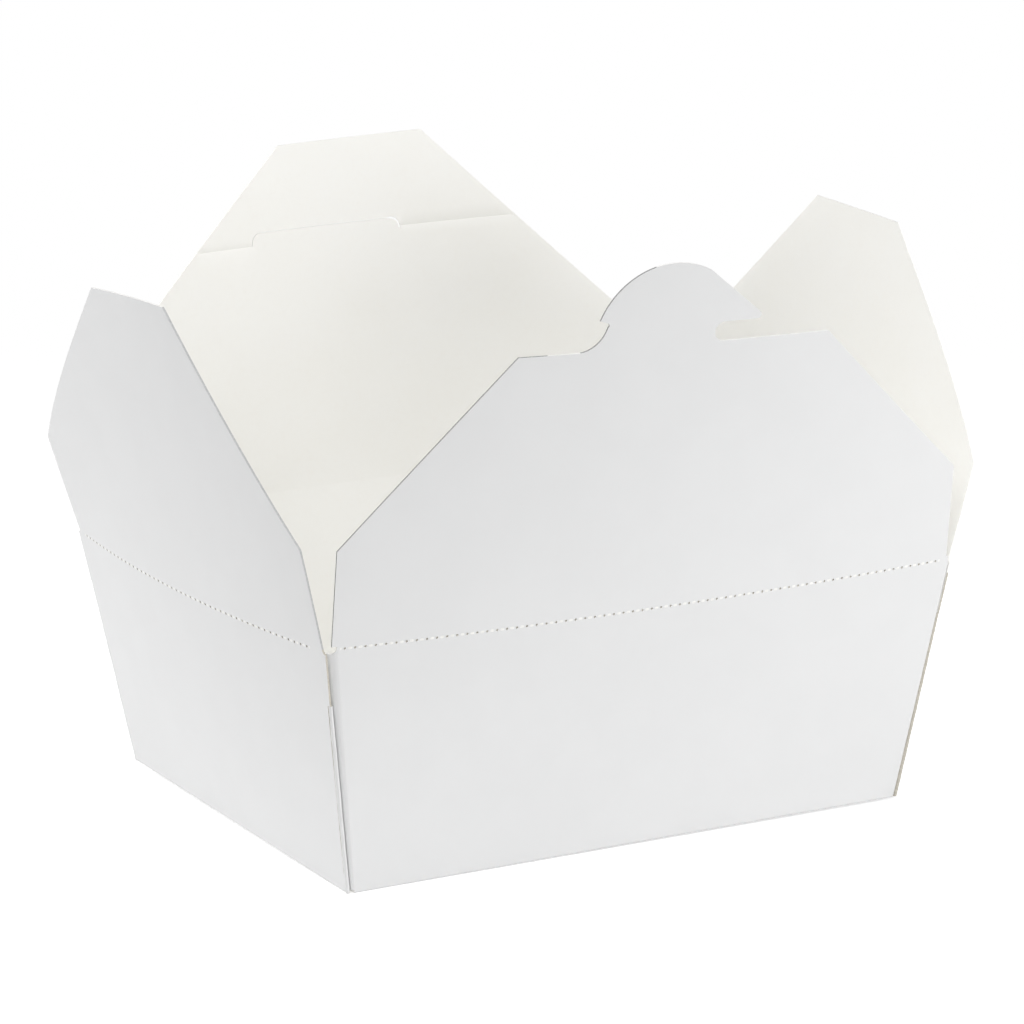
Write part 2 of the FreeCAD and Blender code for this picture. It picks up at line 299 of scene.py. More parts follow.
print("bows in millimetres:", {name: round(side.bow / MM, 1) for name, side in sides.items()})

# %% [markdown]
# ## The coated board
#
# The outside is clay-coated: smooth, satin and a neutral light grey. The inside is the bare
# board: warmer, matt, and mottled by its fibres. A cut shows pressed fibre, pale on most edges.
# Other cuts carry painted shade: brown on the end walls' cuts and dots and on the right beads,
# grey or deep grey where a flap's edge faces away from the lamps, and a lighter pit shade in the
# dots of the long walls. A picture of board would do too, but noise in the object's own measure
# has no seams.


# %% Shader helpers
class Signal:
    """A shader socket that can be added, multiplied and so on like a number."""

    def __init__(self, tree, socket):
        self.tree, self.socket = tree, socket

    def math(self, operation, other):
        """A Math node on this value and another."""
        made = self.tree.nodes.new("ShaderNodeMath")
        made.operation = operation
        connect(self, made.inputs[0])
        connect(other, made.inputs[1])
        return Signal(self.tree, made.outputs[0])

    def __add__(self, other):
        return self.math("ADD", other)

    def __rsub__(self, other):
        return (self * -1.0).math("ADD", other)

    def __mul__(self, other):
        return self.math("MULTIPLY", other)

    __radd__, __rmul__ = __add__, __mul__

    def step(self, low, high):
        """Smooth share from 0 at low to 1 at high."""
        smooth = dict(interpolation_type="SMOOTHSTEP")
        return node(self.tree, "ShaderNodeMapRange", smooth, Value=self, From_Min=low, From_Max=high)


def connect(value, place):
    """Feeds a socket from a signal, a plain value or a colour."""
    if isinstance(value, Signal):
        value.tree.links.new(value.socket, place)
    else:
        place.default_value = value


def node(tree, kind, settings=(), output=0, **values):
    """A node of this type, with its settings first and then its values or links."""
    made = tree.nodes.new(kind)
    for key, value in dict(settings).items():
        setattr(made, key, value)
    for key, value in values.items():
        connect(value, made.inputs[key.replace("_", " ")])
    return Signal(tree, made.outputs[output])


# Places of the Mix node's colour sockets.
MIX_SHARE, MIX_FIRST, MIX_SECOND, MIX_RESULT = 0, 6, 7, 2


def mixed(share, first, second):
    """Colour between two colours."""
    made = share.tree.nodes.new("ShaderNodeMix")
    made.data_type = "RGBA"
    for place, value in ((MIX_SHARE, share), (MIX_FIRST, first), (MIX_SECOND, second)):
        connect(value, made.inputs[place])
    return Signal(share.tree, made.outputs[MIX_RESULT])


def noise(place, scale, detail=3.0, rough=0.5):
    """Noise of about 0.5, in the object's own measure, with this many waves a metre."""
    values = dict(Vector=place, Scale=scale, Detail=detail, Roughness=rough)
    return node(place.tree, "ShaderNodeTexNoise", **values)


def new_material(name, roughness):
    """A material, its shader and the object's own coordinates."""
    material = bpy.data.materials.new(name)
    material.use_nodes = True
    tree = material.node_tree
    shader = tree.nodes["Principled BSDF"]
    shader.inputs["Roughness"].default_value = roughness
    place = node(tree, "ShaderNodeTexCoord", output="Object")
    return material, shader, place


BUMP_DEPTH = 0.1 * MM


def set_bump(shader, height, strength):
    """Feeds the shader's normal from a height."""
    values = dict(Height=height, Strength=strength, Distance=BUMP_DEPTH)
    connect(node(height.tree, "ShaderNodeBump", **values), shader.inputs["Normal"])


def grey(level):
    """A plain grey."""
    return (level, level, level, 1.0)


# %% Coated outside
def coated():
    """Clay coating: a faint cloud in its tone, and a fine grain in its gloss."""
    material, shader, place = new_material("coated_outside", 0.5)
    shader.inputs["Specular IOR Level"].default_value = 0.3
    cloud = noise(place, 60.0)
    grain = noise(place, 1400.0, 4.0, 0.6)
    colour = mixed(cloud.step(0.35, 0.65), (0.746, 0.748, 0.749, 1.0), (0.754, 0.756, 0.757, 1.0))
    connect(colour, shader.inputs["Base Color"])
    connect(grain * 0.16 + 0.46, shader.inputs["Roughness"])
    set_bump(shader, grain, 0.10)
    return material


# %% Bare inside
def bare():
    """Bare board: a warm cloud with darker fibres over it."""
    material, shader, place = new_material("bare_inside", 0.75)
    cloud = noise(place, 45.0)
    fibre = noise(place, 700.0, 5.0, 0.65)
    colour = mixed(cloud.step(0.3, 0.7), (0.948, 0.941, 0.908, 1.0), (0.958, 0.953, 0.926, 1.0))
    colour = mixed(fibre.step(0.45, 0.75) * 0.25, colour, (0.925, 0.905, 0.86, 1.0))
    connect(colour, shader.inputs["Base Color"])
    connect(fibre * 0.2 + 0.65, shader.inputs["Roughness"])
    set_bump(shader, fibre, 0.15)
    return material


# %% Cut edges
def cut(name, low, high):
    """Pressed fibre on a cut, between two colours."""
    material, shader, place = new_material(name, 0.85)
    fibre = noise(place, 1800.0, 4.0, 0.6)
    connect(mixed(fibre.step(0.3, 0.7), low, high), shader.inputs["Base Color"])
    set_bump(shader, fibre, 0.3)
    return material


FINISHES = [
    coated(),
    bare(),
    cut("pale_cut_edge", (0.93, 0.925, 0.90, 1.0), (0.97, 0.965, 0.95, 1.0)),
    # Brown painted shade: the end walls' cut edges and dots, the right end's beads and the beads' caps.
    cut("dark_cut_edge", (0.48, 0.45, 0.39, 1.0), (0.60, 0.57, 0.50, 1.0)),
    # Grey painted shade for the left flap's edges that face away from the lamps.
    cut("grey_cut_edge", (0.50, 0.50, 0.51, 1.0), (0.60, 0.60, 0.61, 1.0)),
    # Deep grey painted shade for the front flap's edges that face away from the lamps.
    cut("deep_grey_cut_edge", (0.26, 0.26, 0.26, 1.0), (0.36, 0.36, 0.355, 1.0)),
    # Painted shade in the pits of the punched dots on the front and back walls.
    cut("punched_cut_edge", (0.66, 0.64, 0.59, 1.0), (0.76, 0.74, 0.69, 1.0)),
    cut("raised_fibre", (0.85, 0.84, 0.81, 1.0), (0.92, 0.915, 0.895, 1.0)),
]
OUTSIDE, INSIDE, PALE_CUT, BROWN_PAINTED_SHADE, GREY_PAINTED_SHADE, DEEP_PAINTED_SHADE, PIT_PAINTED_SHADE, RAISED_FIBRE = range(8)
print("finishes:", [finish.name for finish in FINISHES])

# %% [markdown]
# ## A sheet from its cutting line
#
# A flap is not a rectangle, so a plain grid would not follow its slants, its barb and its slit.
# The way chosen here is the die maker's: draw the cutting line, scatter an even lattice of points
# inside it, and let a constrained triangulation join them. The lattice gives the sheet enough
# points to bend, and the cutting line stays exact.


# %% Cutting lines
def arc(centre, radius, start, end, count=12):
    """Points of a circular arc, from one angle to another in degrees."""
    turn = np.radians(np.linspace(start, end, count))
    return np.c_[centre[0] + radius * np.cos(turn), centre[1] + radius * np.sin(turn)]


def divided(loop, step):
    """The same closed line with points added, so that no stretch is longer than the step."""
    ends = np.roll(loop, -1, axis=0)
    counts = np.maximum(1, np.ceil(np.hypot(*(ends - loop).T) / step).astype(int))
    share = np.concatenate([np.arange(count) / count for count in counts])[:, None]
    start = np.repeat(loop, counts, axis=0)
    return start + (np.repeat(ends, counts, axis=0) - start) * share


def inside(points, loop):
    """Which points lie inside a closed line, by counting the crossings to their right."""
    x, y = points[:, 0][:, None], points[:, 1][:, None]
    x0, y0 = loop[:, 0], loop[:, 1]
    x1, y1 = np.roll(loop, -1, axis=0).T
    spans = (y0 > y) != (y1 > y)
    rise = np.where(y1 == y0, 1.0, y1 - y0)
    return (spans & (x < (x1 - x0) * (y - y0) / rise + x0)).sum(axis=1) % 2 == 1


def far_from(points, loop, distance):
    """Which points keep this distance from every stretch of a closed line."""
    start, run = loop, np.roll(loop, -1, axis=0) - loop
    offset = points[:, None, :] - start[None]
    share = np.clip((offset * run).sum(2) / np.maximum((run * run).sum(1), 1e-18), 0.0, 1.0)
    gap = offset - run * share[..., None]
    return (gap * gap).sum(2).min(axis=1) > distance**2


def slot_places(slots):
    """How far along the fold the middles of its punched dots lie."""
    return (np.arange(slots) - (slots - 1) / 2) * SLOT_PITCH


def punched_dots(slots, drop):
    """Round cutting lines of the perforation, this far below the fold."""
    return [arc((x, -drop), SLOT_RADIUS, 0.0, 315.0, 8) for x in slot_places(slots)]


# %% Triangles inside a cutting line
CLEARANCE = 0.4
MESH_SCALE = 1000.0
SAME_POINT = 1e-5


def cut_sheet(loop, holes=(), spacing=LATTICE, guides=()):
    """Flat points and triangles that fill a cutting line and leave its holes open.

    Guides are open lines of points that the triangles' edges have to follow, as a crease needs.
    Lattice points near a line are left out.
    """
    loops = [divided(np.asarray(line, float), spacing) for line in (loop, *holes)]
    low, high = loops[0].min(axis=0), loops[0].max(axis=0)
    counts = np.maximum(2, np.round((high - low) / spacing).astype(int))
    x, y = (np.linspace(low[i], high[i], counts[i] + 1) for i in (0, 1))
    lattice = np.stack(np.meshgrid(x, y), axis=-1).reshape(-1, 2)
    keep = inside(lattice, loops[0])
    for line in (*loops, *guides):
        keep &= far_from(lattice, line, spacing * CLEARANCE)
    for hole in loops[1:]:
        keep &= ~inside(lattice, hole)
    starts = np.cumsum([0] + [len(line) for line in (*loops, *guides)])
    edges = []
    for line, start in zip((*loops, *guides), starts):
        count = len(line)
        closing = count if start < starts[len(loops)] else count - 1
        edges += [(start + i, start + (i + 1) % count) for i in range(closing)]
    points = np.concatenate([*loops, *guides, lattice[keep]])
    places = [tuple(point) for point in points * MESH_SCALE]
    flat, _, faces, *_ = delaunay_2d_cdt(places, edges, [], 0, SAME_POINT)
    flat = np.array(flat) / MESH_SCALE
    faces = np.array(faces)
    middle = flat[faces].mean(axis=1)
    keep = inside(middle, loops[0])
    for hole in loops[1:]:
        keep &= ~inside(middle, hole)
    faces = faces[keep]
    a, b, c = flat[faces[:, 0]], flat[faces[:, 1]], flat[faces[:, 2]]
    area = (b[:, 0] - a[:, 0]) * (c[:, 1] - a[:, 1]) - (b[:, 1] - a[:, 1]) * (c[:, 0] - a[:, 0])
    faces[area < 0] = faces[area < 0][:, ::-1]
    return flat, faces[np.abs(area) > SLIVER]


# %% [markdown]
# ## Giving a sheet its thickness
#
# Each bent sheet gets two faces, half a board to each side of its middle, and a narrow band
# round every cut. The band stands out a few hundredths in its middle, as pressed paper fibre
# does, so that an edge catches a thin line of light instead of a hard corner. The faces keep
# their own materials: coated outside, bare inside, cut fibre round the edge. The Solidify modifier
# could do most of this, but here each stretch of an edge can have its own finish: pale fibre, or
# a painted shade where the edge should look shaded.

# %% Meshes
def new_mesh(name, points, faces, slots, measure=None, finishes=FINISHES):
    """A mesh object with the finishes that its faces use, from lists of triangles and quads."""
    mesh = bpy.data.meshes.new(name)
    corners = np.concatenate([np.asarray(rows).ravel() for rows in faces])
    sizes = np.concatenate([np.full(len(rows), np.shape(rows)[1]) for rows in faces])
    mesh.vertices.add(len(points))
    mesh.vertices.foreach_set("co", np.asarray(points, np.float32).ravel())
    mesh.loops.add(len(corners))
    mesh.loops.foreach_set("vertex_index", corners.astype(np.int32))
    mesh.polygons.add(len(sizes))
    mesh.polygons.foreach_set("loop_start", (np.cumsum(sizes) - sizes).astype(np.int32))
    used, index = np.unique(np.concatenate(slots).astype(int), return_inverse=True)
    mesh.polygons.foreach_set("material_index", index.astype(np.int32))
    mesh.polygons.foreach_set("use_smooth", np.ones(len(sizes), bool))
    if measure is not None:
        layer = mesh.uv_layers.new(name="Blank")
        layer.data.foreach_set("uv", np.asarray(measure, np.float32)[corners].ravel())
    mesh.update(calc_edges=True)
    mesh.validate()
    for place in used:
        mesh.materials.append(finishes[place])
    piece = bpy.data.objects.new(name, mesh)
    bpy.context.scene.collection.objects.link(piece)
    return piece


def crisp(piece, angle=35.0):
    """Marks edges sharper than the angle, so that a cut stays crisp and a bend stays smooth."""
    piece.data.set_sharp_from_angle(angle=np.radians(angle))
    return piece


# %% Thickness
BAND_BULGE = 0.08


def thick(name, middle, normal, faces, measure, toward, dark=None, shade=BROWN_PAINTED_SHADE,
          thickness=BOARD, coats=(OUTSIDE, INSIDE)):
    """Board with this middle surface: a coated face, a bare face and a band round every cut.

    The coated face is the one on the side that toward points to. The rule dark chooses the
    stretches of a cut that take the finish shade, a painted shade, from their places, their
    directions and the flat measure. The other stretches are pale cut fibre.
    """
    normal = unit(normal)
    if (normal @ np.asarray(toward, float)).mean() < 0:
        normal = -normal
    a, b, c = middle[faces[:, 0]], middle[faces[:, 1]], middle[faces[:, 2]]
    turned = (np.cross(b - a, c - a) * normal[faces[:, 0]]).sum(axis=1) < 0
    faces = np.where(turned[:, None], faces[:, ::-1], faces)
    count = len(middle)
    pairs = np.stack([faces, np.roll(faces, -1, axis=1)], axis=-1).reshape(-1, 2)
    code = pairs[:, 0] * count + pairs[:, 1]
    rim = pairs[~np.isin(code, pairs[:, 1] * count + pairs[:, 0])]
    a, b = rim.T
    aside = np.cross(middle[b] - middle[a], normal[a])
    aside /= np.maximum(np.linalg.norm(aside, axis=1)[:, None], TINY)
    push = np.zeros_like(middle)
    np.add.at(push, a, aside)
    np.add.at(push, b, aside)
    size = np.linalg.norm(push, axis=1)
    outer = np.flatnonzero(size > 0)
    ring = np.full(count, -1)
    ring[outer] = np.arange(len(outer)) + 2 * count
    bulge = middle[outer] + push[outer] / size[outer][:, None] * thickness * BAND_BULGE
    points = np.concatenate([middle + normal * thickness / 2, middle - normal * thickness / 2, bulge])
    bands = np.concatenate([
        np.c_[b, a, ring[a], ring[b]],
        np.c_[ring[b], ring[a], a + count, b + count],
    ])
    back = faces[:, ::-1] + count
    chosen = dark(middle[a], aside, measure[a]) if dark else np.zeros(len(a), bool)
    # Stretches that the rule picks take the painted shade; the rest are pale cut fibre.
    fibre = np.where(np.concatenate([chosen, chosen]), shade, PALE_CUT)
    slots = [np.full(len(faces), coats[0]), np.full(len(back), coats[1]), fibre]
    measure = np.concatenate([measure, measure, measure[outer]])
    return crisp(new_mesh(name, points, [faces, back, bands], slots, measure))


DIFFERENCE = 0.01 * MM


def bent_sheet(name, flat, faces, surface, toward, dark=None, shade=BROWN_PAINTED_SHADE):
    """A flat cut sheet laid on a bent surface, which turns (across, up) into places.

    The normal is the cross product of the surface's two slopes, taken by small differences.
    """
    across, up = flat.T
    middle = surface(across, up)
    along = surface(across + DIFFERENCE, up) - middle
    upward = surface(across, up + DIFFERENCE) - middle
    normal = np.cross(along, upward)
    return thick(name, middle, normal, faces, flat, toward, dark, shade)


def grid_faces(rows, columns):
    """Quads of a grid whose points are stored row by row."""
    first = (np.arange(rows - 1)[:, None] * columns + np.arange(columns - 1)).ravel()
    return np.c_[first, first + 1, first + columns + 1, first + columns]


STRIP_STEPS = 9


def folded_strip(name, start, leave, end, arrive, toward, drop=0.0):
    """A rounded fold between two edges, as a cubic curve across at every point along.

    start and end are the two edges, and leave and arrive the directions of travel there. The
    curve's handles are as long as those of a circle's arc, radius * 4/3 * tan(turn / 4), and its
    end slopes are three handles long, so that the fold is round. The strip's last end is cut
    lower by the drop, along a quarter circle from its start to its far side.
    """
    leave, arrive = unit(leave), unit(arrive)
    chord = np.linalg.norm(end - start, axis=1)[:, None]
    turn = np.arccos(np.clip((leave * arrive).sum(axis=1), -1.0, 0.9999))[:, None]
    radius = chord / (2.0 * np.sin(turn / 2.0))
    reach = 3.0 * radius * (4.0 / 3.0) * np.tan(turn / 4.0)
    s = np.linspace(0.0, 1.0, STRIP_STEPS)[None, :, None]
    P0, P1, V0, V1 = (v[:, None, :] for v in (start, end, leave * reach, arrive * reach))
    curve = (2 * s**3 - 3 * s**2 + 1) * P0 + (s**3 - 2 * s**2 + s) * V0
    curve = curve + (3 * s**2 - 2 * s**3) * P1 + (s**3 - s**2) * V1
    cut_back = drop * np.sqrt(1.0 - (1.0 - s) ** 2)
    run = np.linalg.norm(curve[-1:] - curve[:1], axis=-1, keepdims=True)
    share = np.linspace(0.0, 1.0, len(curve))[:, None, None] * (cut_back / run)
    curve = curve - (curve[-1:] - curve[:1]) * share
    across = np.gradient(curve, axis=1)
    along = np.gradient(curve, axis=0)
    normal = np.cross(across, along).reshape(-1, 3)
    rows, columns = curve.shape[:2]
    middle = curve.reshape(-1, 3)
    return thick(name, middle, normal, grid_faces(rows, columns), middle[:, [0, 2]], toward)


def joined_pieces(name, pieces):
    """Several meshes as one piece, by Blender's own join, so that they ride together."""
    with bpy.context.temp_override(active_object=pieces[0], selected_editable_objects=pieces):
        bpy.ops.object.join()
    pieces[0].name = name
    pieces[0].data.name = name
    return pieces[0]


# %% [markdown]
# ## The four flaps
#
# The front flap carries the locking tab: a sweep into a barb, a round top, and a slant down to a
# tip with a slot under it. The tab is what a hand takes hold of, so its outline is drawn with true
# arcs. The back flap has the slit that takes it: a cut lifted off the crease by a rounded step at
# each end. The end flaps are plain.

# %% Flap outlines
LONG_FLAP_HALF = 85.2 * MM


def drawn(*lines):
    """A cutting line from its stretches in millimetres."""
    return np.concatenate([np.array(line) * MM for line in lines])


def front_outline():
    """Cutting line of the front flap, from the right end of its fold round to the left."""
    half, half_top, shoulder, left_side, right_side = 85.1, 42.45, 66.8, 23.0, 25.2
    sweep_x, sweep_r, neck_x, neck_up, neck_r = -27.4, 8.1, -20.1, 73.1, 0.8
    round_x, round_r, round_start, barb_angle = -2.3, 20.9, 63.0, 158.6
    slot_low, slot_high, slot_end, tip_x, tip_r, slant = 67.0, 4.9, 9.7, 22.4, 1.0, 39.5
    return drawn(
        [(half, right_side), (half_top, shoulder)],
        arc((slot_end + slot_high / 2, slot_low + slot_high / 2), slot_high / 2, 270.0, 90.0),
        arc((tip_x - tip_r, slot_low + slot_high + tip_r), tip_r, -90.0, 90.0 - slant),
        arc((round_x, shoulder), round_r, round_start, barb_angle, 28),
        arc((neck_x, neck_up), neck_r, 90.0, -10.0, 5),
        arc((sweep_x, shoulder + sweep_r), sweep_r, -16.0, -90.0),
        [(-half_top, shoulder), (-half, left_side)],
    )


def slit_outline():
    """The slit as a narrow closed line: up a rounded step, across, and down the other.

    The sheet has sprung a little, so that the slit gapes at its right step.
    """
    left, right, bend, radius, half, gape = -30.2, 12.7, 64.6, 2.6, 0.09, 0.26
    left_foot, right_foot, ease = 63.85, 64.4, 1.0
    return drawn(
        [(left - half, left_foot)],
        arc((left + radius, bend), radius + half, 180.0, 90.0),
        [(right - radius - ease, bend + radius + half)],
        arc((right - radius, bend), radius + gape, 90.0, 0.0),
        [(right + gape, right_foot), (right - gape, right_foot)],
        arc((right - radius, bend), radius - gape, 0.0, 90.0),
        [(right - radius - ease, bend + radius - half)],
        arc((left + radius, bend), radius - half, 90.0, 180.0),
        [(left + half, left_foot)],
    )


# %% The back flap's crease
CREASE_HALF = 0.32 * MM
CREASE_DEPTH = 0.2 * MM
CREASE_MARGIN = 0.1 * MM
CREASE_POINTS = 9
CREASE_RUNS = ((-45.6 * MM, -30.6 * MM, 63.85 * MM), (13.3 * MM, 44.4 * MM, 64.9 * MM))


def crease_lines():
    """Lines along the pressed crease, at its two lips, its middle and halfway between."""
    offsets = np.linspace(-1.0, 1.0, 5) * CREASE_HALF
    lines = []
    for low, high, up in CREASE_RUNS:
        across = np.linspace(low, high, CREASE_POINTS)
        lines += [np.c_[across, np.full(CREASE_POINTS, up + offset)] for offset in offsets]
    return lines


def creased_flap(across, up):
    """The back flap with a shallow trough, one cosine wave wide, pressed in its inner face."""
    side = sides["back"]
    depth = np.zeros_like(across)
    for low, high, middle in CREASE_RUNS:
        share = np.clip(np.abs(up - middle) / CREASE_HALF, 0.0, 1.0)
        within = (across > low - CREASE_MARGIN) & (across < high + CREASE_MARGIN)
        depth = depth + CREASE_DEPTH * within * (1.0 + np.cos(np.pi * share)) / 2
    return side.flap(across, up) + np.multiply.outer(depth, side.normal(side.flap_lean))


# %% Edges with painted shade
FACING_SPAN = 100.0 * MM
FACING_LIMIT = 0.3


def facing(way):
    """Rule for cuts with painted shade: those that look this way, the more so the further out they lie."""
    way = np.array(way)
    return lambda place, aside, measure: aside @ way + place @ way / FACING_SPAN > FACING_LIMIT


# Flap edges that face away from the lamps take painted shade: deep grey on the front flap, grey on the left.
EDGE_SHADE_RULES = {"front": (facing((-1, 0, 0)), DEEP_PAINTED_SHADE), "left": (facing((0, -1, 0)), GREY_PAINTED_SHADE)}

# %% Make the flaps
END_FLAP_HALF = 67.4 * MM
RIGHT_NEAR_HALF = 67.7 * MM
outlines = {
    "front": front_outline(),
    "back": drawn([(85.2, 27.1), (20.5, 89.3), (-20.9, 88.9), (-85.2, 27.1)]),
    "left": drawn([(67.7, 26.1), (20.4, 73.3), (-20.4, 76.1), (-67.6, 25.5)]),
    "right": drawn([(67.9, 28.5), (20.3, 75.6), (-18.8, 75.2), (-67.9, 24.2)]),
}
flaps = {}
for name, outline in outlines.items():
    side = sides[name]
    half = LONG_FLAP_HALF if name in ("front", "back") else END_FLAP_HALF
    near = RIGHT_NEAR_HALF if name == "right" else half
    loop = np.concatenate([[(-near, 0.0), (half, 0.0)], outline])
    dark, shade = EDGE_SHADE_RULES.get(name, (None, PALE_CUT))
    if name == "back":
        flat, faces = cut_sheet(loop, (slit_outline(),), guides=crease_lines())
        surface = creased_flap
    else:
        flat, faces = cut_sheet(loop)
        surface = side.flap
    flaps[name] = bent_sheet(name + "_flap_board", flat, faces, surface, side.out, dark, shade)
    print(name, "flap:", len(flat), "points,", len(faces), "triangles a face")

# %% [markdown]
# ## The walls and the bottom
#
# A wall is a sheet of the same kind, narrower at the bottom. It stops just short of its lower
# corner folds and its side folds, which are made as strips of their own, so that each fold is
# truly round. The strip along the bottom then joins its wall, because the two flatten together
# when a flap closes. The end walls run out to a plain cut edge for their last fourteen millimetres,
# which carries a brown painted shade.
#
# Each wall is perforated just below its fold. The dots are round holes in the sheet, with a floor
# behind them that carries a painted shade, and a thin ply shows between them as the fibre that the
# punch has pushed up.


# %% Corner places
def corner_place(height, end_depth, long_depth):
    """How far a corner lies along and across the box, so deep behind the walls' outer faces."""
    x = BOTTOM_HALF_LENGTH + (height * np.sin(END_LEAN) - end_depth) / np.cos(END_LEAN)
    y = BOTTOM_HALF_WIDTH + (height * np.sin(LONG_LEAN) - long_depth) / np.cos(LONG_LEAN)
    return x, y


MIDDLE_RADIUS = WALL_FOLD_RADIUS - BOARD / 2
FREE_FOOT = END_HEIGHT - FREE_EDGE
LIFT = BOTTOM_FOLD_RADIUS * 1.3
ROWS = 40
NOTCH_DROP = 1.9 * MM


def web_depth(end_name, height):
    """How deep behind an end wall's outer face the long wall's folded-in corner lies."""
    return WEB_DEPTH[end_name] + WEB_SPRING[end_name] * height / LONG_HEIGHT


def corner_radius(end_name, height):
    """Radius of a long wall's round corner in the middle of the board; it grows upward."""
    return MIDDLE_RADIUS + CORNER_GROWTH[end_name] * height / LONG_HEIGHT


def up_of(side, height):
    """Distance up a wall from its fold, negative below it, of the middle of its board there."""
    return (height - side.fold[2]) / np.cos(side.wall_lean)


def long_half(end_name, height):
    """How far a long wall's flat part reaches towards an end of the box, at this height."""
    reach = corner_place(height, web_depth(end_name, height) + BOARD / 2, 0.0)[0]
    return reach - corner_radius(end_name, height)


# %% Perforations
# Depths count inward from the middle of the wall's board.
PLY = 0.1 * MM
PLY_HALF_WIDTH = 0.5 * MM
PLY_RAISED = -0.17 * MM
PLY_SUNK = 0.16 * MM
SPECK = 0.13 * MM
WAVE_SPLIT = 0.1
DOT_FLOOR = 0.12 * MM
# Painted shade for the dots: on their floors, and on their walls where a wall's rule picks them; a pit shade on the
# long walls, brown on the end walls.
DOT_SHADES = {"front": PIT_PAINTED_SHADE, "back": PIT_PAINTED_SHADE, "left": BROWN_PAINTED_SHADE, "right": BROWN_PAINTED_SHADE}


def perforation(side, slots):
    """A thin ply along the fold, pushed up between the punched dots, and a floor behind them.

    The ply follows a cosine wave of one period per dot: sunk at the dots, and raised between
    them, where its crests stand a tenth of a millimetre above the coated face. The floor takes
    the dots' painted shade.
    """
    columns, rows = slots * 12 + 1, 7
    across = np.linspace(-0.5, 0.5, columns) * slots * SLOT_PITCH * 0.9999
    wave = np.cos(2 * np.pi * (across - slot_places(slots)[0]) / SLOT_PITCH)
    along, share = np.meshgrid(across, np.linspace(-1.0, 1.0, rows))
    up = share * PLY_HALF_WIDTH - SLOT_DROP[side.name]
    crest = np.clip(-wave - WAVE_SPLIT, 0.0, 1.0) * np.cos(np.pi / 2 * share) ** 2
    ply = np.where(wave > WAVE_SPLIT, PLY_SUNK, PLY_RAISED) - crest * SPECK
    flat = np.c_[along.ravel(), up.ravel()]
    normal = np.tile(side.normal(side.wall_lean), (len(flat), 1))
    faces = grid_faces(rows, columns)
    floor = np.full(len(flat), DOT_FLOOR)
    layers = []
    # The floor behind the dots is coloured with painted shade.
    for depth, finish in ((ply.ravel(), RAISED_FIBRE), (floor, DOT_SHADES[side.name])):
        middle = side.wall(*flat.T, depth)
        layers.append(thick("ply", middle, normal, faces, flat, side.out, thickness=PLY,
                            coats=(finish, INSIDE)))
    return layers


# %% Which of a wall's cuts carry painted shade
DOT_HIGH, DOT_LOW, DOT_REACH = -0.05 * MM, -1.3 * MM, 83.5 * MM
FREE_CUTS_BELOW = -1.5 * MM


def dot_cuts(place, aside, measure):
    """Rule for cuts with painted shade: the walls of the punched dots."""
    across, up = measure.T
    return (up < DOT_HIGH) & (up > DOT_LOW) & (np.abs(across) < DOT_REACH)


def end_cuts(place, aside, measure):
    """Rule for cuts with painted shade: every cut below the fold, and on the left the walls of the dots."""
    left_dots = dot_cuts(place, aside, measure) & (place[:, 0] < 0)
    return (measure[:, 1] < FREE_CUTS_BELOW) | left_dots


WALL_SHADE_RULES = {"front": dot_cuts, "back": None, "left": end_cuts, "right": end_cuts}

# %% Make the walls
GROOVE = 0.85 * MM
walls = {}
for name, side in sides.items():
    low = up_of(side, LIFT)
    if name in ("front", "back"):
        left_cut = np.array([(-long_half("left", LONG_HEIGHT), 0.0), (-long_half("left", LIFT), low)])
        right_cut = np.array([(long_half("right", LIFT), low), (long_half("right", LONG_HEIGHT), 0.0)])
        slots = LONG_FOLD_SLOTS
    else:
        full = corner_place(END_HEIGHT, 0.0, 0.0)[1]
        free = corner_place(FREE_FOOT, 0.0, 0.0)[1]
        bead = corner_place(FREE_FOOT, 0.0, GROOVE)[1]
        low_half = corner_place(LIFT, 0.0, GROOVE)[1]
        step = up_of(side, FREE_FOOT)
        notch = arc((-full, 0.0), full - END_FLAP_HALF, 0.0, -90.0, 7)
        left_cut = np.concatenate([notch, [(-free, step), (-bead, step), (-low_half, low)]])
        right_cut = left_cut[::-1] * (-1.0, 1.0)
        slots = END_FOLD_SLOTS
    flat, faces = cut_sheet(np.concatenate([left_cut, right_cut]), punched_dots(slots, SLOT_DROP[name]))
    finish = (WALL_SHADE_RULES[name], DOT_SHADES[name])
    sheet = bent_sheet(name + "_wall_sheet", flat, faces, side.wall, side.out, *finish)
    walls[name] = joined_pieces(name + "_wall", [sheet, *perforation(side, slots)])
    print(name, "wall:", len(flat), "points,", len(faces), "triangles a face")

# %% Bottom and its folds
PANEL_X = BOTTOM_HALF_LENGTH - LIFT
PANEL_Y = BOTTOM_HALF_WIDTH - LIFT
panel_loop = np.array([(-1, -1), (1, -1), (1, 1), (-1, 1)]) * (PANEL_X, PANEL_Y)
flat, faces = cut_sheet(panel_loop, spacing=6 * MM)
height = np.full(len(flat), BOARD / 2)
bottom = thick("bottom", np.c_[flat, height], np.tile(-UP, (len(flat), 1)), faces, flat, -UP)

for name, side in sides.items():
    low = up_of(side, LIFT)
    if name in ("front", "back"):
        panel_half, panel_out = PANEL_X, PANEL_Y
        across = np.linspace(-long_half("left", LIFT), long_half("right", LIFT), ROWS)
    else:
        panel_half, panel_out = PANEL_Y, PANEL_X
        across = np.linspace(-1.0, 1.0, ROWS) * corner_place(LIFT, 0.0, GROOVE)[1]
    start = np.multiply.outer(np.linspace(-panel_half, panel_half, ROWS), side.along)
    start = start + side.out * panel_out + UP * BOARD / 2
    end = side.wall(across, np.full(ROWS, low))
    arrive = side.wall(across, np.full(ROWS, low + 0.1 * MM)) - end
    leave = np.tile(side.out, (ROWS, 1))
    strip = folded_strip(name + "_bottom_fold", start, leave, end, arrive, side.out - UP)
    walls[name] = joined_pieces(name + "_wall", [walls[name], strip])
